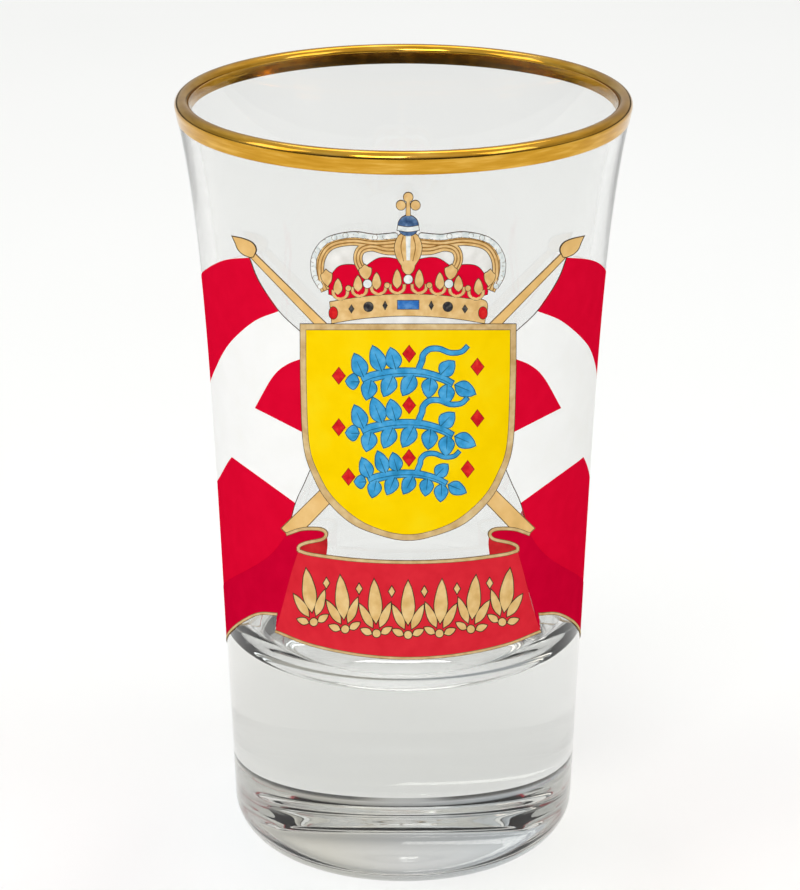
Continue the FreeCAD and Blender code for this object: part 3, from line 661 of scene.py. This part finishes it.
def shield_outline(inset):
    half, top, foot = SHIELD_HALF - inset, SHIELD_TOP - inset, SHIELD_FOOT + inset
    left = [(-half, top), (-half + 0.05, 6.0), (-half + 0.35, 0.0), (-half + 1.35, -3.2 + inset * 0.4),
            (-half + 2.75, -5.6 + inset * 0.6), (-half + 5.2, -7.85 + inset * 0.8), (-2.4, foot + 0.4),
            (0, foot)]
    right = [(-x, v) for x, v in reversed(left)]
    return joined(left + right[1:])


def sprig(height, size):
    """One leafy sprig and the dark veins of its leaves."""
    def at(x, v):
        return x * size, height + v * size

    pieces, veins = [], []
    for x, v, length, degrees in SPRIG_LEAVES:
        angle = math.radians(degrees)
        start = at(x + STALK_GAP * math.cos(angle), v + STALK_GAP * math.sin(angle))
        pieces.append(leaf(*start, (length + 0.3) * size, LEAF_WIDTH * size, angle))
        veins.append(strip([start, *turned([(length * 0.8 * size, 0.04)], angle, *start)], 0.1, 0.04))
    pieces.append(strip([at(*p) for p in ((0.95, 0.0), *TENDRIL)], 0.5 * size, 0.36 * size))
    pieces.append(strip([at(*p) for p in STEM], 0.9 * size, 0.6 * size))
    veins.append(strip([at(x, v - 0.12) for x, v in STEM], 0.07, 0.05))
    return pieces, veins


def shield():
    under_print("shield_under_print", shield_outline(0))
    area("shield_rim", [shield_outline(0)], 6, "rim_tan", "gold_print", "key_line", FINE_KEY)
    field = shield_outline(SHIELD_RIM)
    film("shield_inner_key_line", [grown(ring_of(field), FINE_KEY)], 7, "soft_key", "dark_enamel")
    area("shield_field", [field], 8, "yellow", "yellow_enamel")
    for name, (height, size) in zip(("top", "middle", "low"), ROWS):
        pieces, veins = sprig(height, size)
        area(f"shield_sprig_{name}", pieces, 10, "blue", "blue_enamel", "blue_edge", 0.1)
        drawn(f"shield_sprig_{name}_veins", veins, 11, "blue_edge", "blue_enamel")
    found = []
    for height, size in ROWS:
        for x, v in ((-6.9, -0.35), (0.1, 1.85), (6.9, 0.55)):
            found.append(lozenge(x * size, height + v * size, 0.62, 0.8))
    area("shield_lozenges", found, 10, "small_red", "red_enamel", "small_red_edge", 0.07)


# ---- the ribbon ----------------------------------------------------------------------------------
RIBBON_MIDDLE = -16.55
RIBBON_RISE = 1.25
MOTIFS = 7
MOTIF_PITCH = 3.25
RIBBON_TOP = [(-10.9, -10.55), (-9.4, -10.95), (-5.0, -11.5), (0, -11.7), (5.0, -11.5), (9.4, -10.95),
              (10.9, -10.55)]
RIBBON_SIDE = [(11.5, -12.7), (12.35, -15.9), (13.2, -18.6)]
RIBBON_LOW = [(9.7, -19.95), (4.9, -20.95), (0, -21.3), (-4.9, -20.95), (-9.7, -19.95), (-13.2, -18.6)]
FOLD_TOP = [(-12.1, -8.9), (-10.55, -8.4), (-8.75, -8.4), (-8.15, -8.85), (-8.55, -9.4), (-10.1, -9.75),
            (-10.85, -10.1), (-10.9, -10.55)]
TAIL_LOW = [(-13.05, -16.9), (-14.8, -16.85), (-16.3, -17.5), (-18.4, -18.9), (-20.6, -20.0)]


def ribbon_front():
    left_side = [(-12.45, -15.9), (-11.6, -12.7), (-10.9, -10.55)]
    return joined(RIBBON_TOP, RIBBON_SIDE, RIBBON_LOW, left_side)


def ribbon_inner_fold():
    return joined([(-8.15, -8.85), (-8.05, -9.9), (-8.2, -11.3)], [(-9.6, -11.2), (-10.9, -10.55)],
                  [(-10.85, -10.1), (-10.1, -9.75), (-8.55, -9.4), (-8.15, -8.85)])


def ribbon_tail():
    return joined(FOLD_TOP, [(-13.2, -18.6)], [(-13.05, -16.9)], TAIL_LOW[1:],
                  [(-21.6, -17.9), (-21.0, -16.2)], [(-20.8, -14.3)], list(reversed(FLAG_LOW))[1:])


def ribbon_motifs():
    """A row of palmettes, with a lozenge between each two."""
    found = []
    middle = (MOTIFS - 1) / 2
    for i in range(MOTIFS):
        x = (i - middle) * MOTIF_PITCH
        v = RIBBON_MIDDLE + RIBBON_RISE * (i / middle - 1) ** 2
        lean = 0.045 * (middle - i)
        up = math.pi / 2 + lean
        foot_x, foot_v = turned([(0, -2.75)], lean, x, v)[0]
        found.append(leaf(*turned([(0, -1.4)], lean, x, v)[0], 4.4, 1.3, up))
        for way in (1, -1):
            found.append(leaf(*turned([(-0.36 * way, -1.8)], lean, x, v)[0], 2.7, 0.8, up + 0.46 * way))
            found.append(leaf(*turned([(-0.48 * way, -2.42)], lean, x, v)[0], 1.2, 0.66, up + 1.1 * way))
        found.append(oval(foot_x, foot_v + 0.35, 0.38))
    for i in range(MOTIFS - 1):
        x = (i + 0.5 - middle) * MOTIF_PITCH
        v = RIBBON_MIDDLE + RIBBON_RISE * ((i + 0.5) / middle - 1) ** 2
        found.append(lozenge(x, v + 1.9, 0.3, 0.5))
    return found


def ribbon():
    for side, flip in SIDES:
        under_print(f"ribbon_tail_under_print_{side}", flip(ribbon_tail()))
        area(f"ribbon_tail_{side}", [flip(ribbon_tail())], 5, "tail_red", "deep_red_enamel")
        area(f"ribbon_inner_fold_{side}", [flip(ribbon_inner_fold())], 6, "fold_red", "deep_red_enamel")
    under_print("ribbon_under_print", ribbon_front())
    area("ribbon_front", [ribbon_front()], 7, "ribbon_red", "ribbon_red_enamel")
    lower_edge = [(-13.2, -18.6), *reversed(RIBBON_LOW[:-1]), (13.2, -18.6)]
    edging = [strip(RIBBON_TOP, 0.26), strip(lower_edge, 0.2)]
    for fold, tail in ((FOLD_TOP, TAIL_LOW), mirrored((FOLD_TOP, TAIL_LOW))):
        edging += [strip(fold, 0.26), strip(tail, 0.2)]
    area("ribbon_edging", edging, 9, "rim_tan", "gold_print", "soft_key", 0.05)
    area("ribbon_palmettes", ribbon_motifs(), 9, "letter_gold", "gold_print", "key_line", 0.09)


# ---- the crown ---------------------------------------------------------------------------------------
CROWN_BEADS = 13
CROWN_LEAVES = ((1.1, 1.9), (3.15, 1.7), (5.0, 1.6), (7.0, 1.6))  # place and height
CROWN_TIPS = ((0.0, 16.95, 1.5, 1.3), (4.15, 16.5, 1.6, 1.25), (8.0, 15.9, 1.7, 1.1))
OUTER_ARCH = (
    (8.25, 15.5), (8.8, 16.9), (8.7, 18.7), (7.7, 20.0), (5.6, 20.45), (3.2, 20.2), (0.75, 20.4))
INNER_ARCH = ((4.35, 17.1), (5.0, 18.5), (4.7, 19.55), (3.6, 19.9), (2.2, 19.6), (0.7, 19.6))
ARCHES = (("outer", OUTER_ARCH, (0.8, 0.95)), ("inner", INNER_ARCH, (0.7, 1.1)))
BEAD_LINE = (
    (8.75, 15.9), (9.35, 17.1), (9.3, 18.9), (8.1, 20.45), (5.6, 21.05), (3.3, 20.8), (1.3, 20.95))
BAND_BOW = 0.013  # the band curves down to its ends
BAND_FOOT = 12.95
BAND_TOP = 15.1
SCALLOPS = (1.1, 2.95, 4.85, 6.75)
STONE_LINE = 14.05


def bowed(height, x):
    """The height of a line that bows as the band does, at a place along it."""
    return height - BAND_BOW * x * x


def both_sides(path):
    return [[(sign * x, v) for x, v in path] for sign in (-1, 1)]


def shifted(path, by):
    """A path moved sideways by an even distance, as an arch's inner and outer lines are."""
    moved = []
    for i, (x, v) in enumerate(path):
        before, after = path[max(i - 1, 0)], path[min(i + 1, len(path) - 1)]
        length = math.dist(before, after)
        moved.append((x + (after[1] - before[1]) / length * by, v - (after[0] - before[0]) / length * by))
    return moved


def crown_piece(name, outlines, level, surface, slot):
    area(f"crown_{name}", outlines, level, surface, slot, "key_line", FINE_KEY)


def crown_beads():
    path = smooth(list(BEAD_LINE))
    found = []
    for i in range(CROWN_BEADS):
        x, v = path[round(i * (len(path) - 1) / (CROWN_BEADS - 1))]
        found += [oval(sign * x, v, 0.25, count=12) for sign in (-1, 1)]
    return found


def scallop(x):
    """The little loop in which the red lining ends above the band."""
    v = bowed(15.6, x)
    half = [(0.72, v + 0.5), (0.62, v - 0.05)]
    return [*((x - px, pv) for px, pv in half), (x, v - 0.38), *((x + px, pv) for px, pv in half[::-1])]


def crown_points():
    """The upright leaves along the band, and a broader leaf over each large pearl."""
    found = []
    for sign in (-1, 1):
        for x, length in CROWN_LEAVES:
            found.append(leaf(sign * x, bowed(15.7, x), length, 0.85, math.pi / 2, 0.4))
        for x, foot, length, width in CROWN_TIPS:
            lean = 0.12 * sign * (x > 0)
            if x or sign > 0:
                found.append(leaf(sign * x, foot, length, width, math.pi / 2 - lean, 0.7))
    return found


def band_edge(height, half):
    return [(half * i / 4, bowed(height, half * i / 4)) for i in range(-4, 5)]


def crown_cap():
    foot = band_edge(15.0, 7.9)[::-1]
    return joined([(0, 15.0), (0, 18.0)], [(1.2, 18.6), (2.9, 18.7), (4.5, 17.7)],
                  [(5.6, 18.05), (7.0, 17.8), (7.9, 16.4), (7.9, 15.1)], foot[1:5])


def crown_cloth():
    """The pale lining behind the arches, the hem under the band and the red cap."""
    left = [(-8.3, 15.4), (-9.0, 16.9), (-8.95, 18.6), (-7.8, 20.1), (-5.6, 20.75), (-3.2, 20.45), (0, 20.7)]
    lining = joined(left + [(-x, v) for x, v in reversed(left)][1:])
    area("crown_lining", [lining], 4, "lining", "white_enamel")
    hem = joined(band_edge(12.15, 7.45), [(7.6, 12.2)], band_edge(BAND_FOOT, 7.6)[-2::-1])
    area("crown_hem", [hem], 4, "lining", "white_enamel", "soft_key", FINE_KEY)
    crown_piece("cap_right", [crown_cap()], 6, "flag_red", "red_enamel")
    crown_piece("cap_left", [mirrored(crown_cap())], 6, "flag_red", "red_enamel")


def crown_arches():
    for name, path, widths in ARCHES:
        sides = both_sides(path)
        crown_piece(f"{name}_arches", [strip(side, *widths) for side in sides], 8, "tan_gold", "gold_print")
        lines = [strip(shifted(side, by), 0.1, 0.14) for side in sides for by in (-0.16, 0.18)]
        drawn(f"crown_{name}_arch_lines", lines, 9, "scroll_brown", "gold_print")
    glowing_under_print = [ring_of(strip(side, 0.52)) for side in both_sides(BEAD_LINE)]
    wide = [grown(ring, FINE_KEY) for ring in glowing_under_print]
    film("crown_bead_band_key_line", wide, 8, "key_line", "dark_enamel")
    film("crown_bead_band", glowing_under_print, 9, "pearl", "white_enamel")
    right = [(1.15, 18.8), (1.35, 19.9), (0.9, 21.0), (0, 21.2)]
    left = [(-x, v) for x, v in reversed(right)]
    middle = joined([*left, (-0.6, 17.9)], [(0.6, 17.9)], right)
    crown_piece("middle_arch", [middle], 10, "tan_gold", "gold_print")
    lines = [strip(side, 0.12, 0.08) for side in both_sides(((0.5, 20.9), (0.72, 19.8), (0.46, 18.4)))]
    drawn("crown_middle_arch_lines", lines, 11, "scroll_brown", "gold_print")
    stripe = strip([(0, 21.0), (0, 19.8), (0, 18.5)], 0.5, 0.36)
    drawn("crown_middle_arch_stripe", [stripe], 11, "pearl", "white_enamel")
    area("crown_beads", crown_beads(), 10, "pearl", "gold_print", "soft_key", 0.04)


def crown_band():
    """The gold band and, over it, the scallops that edge the red cap."""
    band = joined(band_edge(BAND_FOOT, 7.6), band_edge(BAND_TOP, 7.8)[::-1])
    crown_piece("band", [band], 8, "tan_gold", "gold_print")
    loops = [ring_of(strip(side, 0.26)) for at in SCALLOPS for side in both_sides(scallop(at))]
    wide = [grown(ring, 0.05) for ring in loops]
    film("crown_scallop_key_line", wide, 8, "soft_key", "dark_enamel")
    film("crown_scallops", loops, 9, "tan_gold", "gold_print")
    inside = [oval(sign * at, bowed(15.62, at), 0.46, 0.3, 16) for at in SCALLOPS for sign in (-1, 1)]
    drawn("crown_scallop_reds", inside, 9, "flag_red", "red_enamel")


def crown_stones():
    low, high = STONE_LINE - 0.42, STONE_LINE + 0.42
    blue = joined([(-1.05, low), (1.05, low)], [(1.05, high)], [(-1.05, high)])
    crown_piece("blue_stone", [blue], 10, "stone_blue", "blue_enamel")
    red = [oval(sign * 7.45, bowed(STONE_LINE - 0.1, 7.45), 0.42, 0.6) for sign in (-1, 1)]
    crown_piece("red_stones", red, 10, "small_red", "red_enamel")
    dark = []
    for sign in (-1, 1):
        dark.append(lozenge(sign * 2.3, bowed(STONE_LINE, 2.3), 0.22, 0.42))
        dark.append(oval(sign * 3.95, bowed(STONE_LINE, 3.95), 0.48))
        dark.append(lozenge(sign * 5.65, bowed(STONE_LINE, 5.65), 0.26, 0.4))
    area("crown_dark_stones", dark, 10, "dark_stone", "dark_enamel", "key_line", 0.04)


def crown_pearls():
    crown_piece("leaf_points", crown_points(), 10, "tan_gold", "gold_print")
    pearls = [oval(0, 16.6, 0.44), oval(-4.05, 16.15, 0.42), oval(4.05, 16.15, 0.42)]
    crown_piece("pearls", pearls, 12, "pearl", "white_enamel")
    places = ((-2.1, 16.0), (-5.95, 15.7), (2.1, 16.0), (5.95, 15.7))
    small = [ring_of(oval(*place, 0.27, count=16)) for place in places]
    wide = [grown(ring, 0.05) for ring in small]
    film("crown_small_pearls_key_line", wide, 11, "key_line", "dark_enamel")
    film("crown_small_pearls", small, 12, "tan_gold", "gold_print")


def crown_top():
    """The orb with its belt and the three round knobs over it."""
    crown_piece("orb", [oval(0, 21.95, 1.02)], 12, "orb_blue", "blue_enamel")
    belt = strip([(-1.05, 21.75), (0, 21.6), (1.05, 21.75)], 0.45)
    crown_piece("orb_belt", [belt], 14, "pearl", "gold_print")
    stalk = strip([(0, 24.4), (0, 23.7), (0, 22.95)], 0.3, 0.42)
    knobs = [oval(-0.72, 24.0, 0.46), oval(0.72, 24.0, 0.46), oval(0, 24.8, 0.46), stalk]
    crown_piece("knobs", knobs, 12, "tan_gold", "gold_print")


def crown():
    crown_cloth()
    crown_arches()
    crown_band()
    crown_stones()
    crown_pearls()
    crown_top()


# ---- the table, the light and the camera ---------------------------------------------------------
def table():
    bm = bmesh.new()
    bmesh.ops.create_circle(bm, cap_ends=True, radius=2.5, segments=96)
    floor = finished("table_top", bm)
    floor.data.materials.append(SURFACE["pale_table"])
    floor.location.z = -0.02 * MM  # clear of the foot's own face


def soft_light(name, place, size, power, colour):
    """A rectangular soft box that faces the middle of the glass."""
    light = bpy.data.lights.new(name, "AREA")
    light.shape = "RECTANGLE"
    light.size, light.size_y = size
    light.energy = power
    light.color = colour
    lamp = bpy.data.objects.new(name, light)
    lamp.location = place
    lamp.rotation_euler = (LIGHT_AIM - lamp.location).to_track_quat("-Z", "Y").to_euler()
    bpy.context.scene.collection.objects.link(lamp)


def surroundings():
    """A white room that is darker in front, cream on one side and cool grey on the other."""
    world = bpy.data.worlds.new("studio")
    bpy.context.scene.world = world
    world.use_nodes = True
    nodes, links = world.node_tree.nodes, world.node_tree.links
    background = nodes["Background"]
    split = nodes.new("ShaderNodeSeparateXYZ")
    links.new(nodes.new("ShaderNodeTexCoord").outputs["Generated"], split.inputs["Vector"])

    def ranged(axis, low, high):
        """0 to 1 as the direction's share along an axis goes from low to high."""
        node = nodes.new("ShaderNodeMapRange")
        node.inputs["From Min"].default_value = low
        node.inputs["From Max"].default_value = high
        links.new(split.outputs[axis], node.inputs["Value"])
        return node.outputs["Result"]

    def mixed(mode, factor, first, second):
        node = nodes.new("ShaderNodeMix")
        node.data_type = "RGBA"
        node.blend_type = mode
        for value, socket in zip((factor, first, second), (node.inputs[0], node.inputs[6], node.inputs[7])):
            if isinstance(value, (int, float, tuple)):
                socket.default_value = value
            else:
                links.new(value, socket)
        return node.outputs[2]

    by_height = ramp(nodes, links, ranged("Z", -1.0, 1.0), WORLD_BY_HEIGHT)
    by_side = ramp(nodes, links, ranged("X", -1.0, 1.0), WORLD_BY_SIDE)
    room = mixed("MULTIPLY", 1.0, by_height, by_side)
    darkness = mixed("MULTIPLY", 1.0, ramp(nodes, links, ranged("Y", -1.0, 1.0), WORLD_FRONT),
                     ramp(nodes, links, ranged("Z", -1.0, 1.0), WORLD_FRONT_HEIGHT))
    line = mixed("MULTIPLY", 1.0, ramp(nodes, links, ranged("Z", -1.0, 1.0), HORIZON),
                 ramp(nodes, links, ranged("X", -1.0, 1.0), HORIZON_SIDES))
    room = mixed("MIX", line, room, HORIZON_COLOUR)
    links.new(mixed("MIX", darkness, room, FRONT_COLOUR), background.inputs["Color"])
    background.inputs["Strength"].default_value = WORLD_STRENGTH


def camera():
    data = bpy.data.cameras.new("camera")
    data.lens = LENS
    data.sensor_width = 36.0
    view = bpy.data.objects.new("camera", data)
    view.location = CAMERA_PLACE
    view.rotation_euler = (math.pi / 2 - EYE_PITCH, 0, 0)
    bpy.context.scene.collection.objects.link(view)
    bpy.context.scene.camera = view


def main():
    bpy.context.scene.view_settings.view_transform = "Standard"
    camera()
    make_materials()
    table()
    surroundings()
    for light in LIGHTS:
        soft_light(*light)
    glass_body()
    rim_gold()
    flags()
    shield()
    ribbon()
    crown()


main()
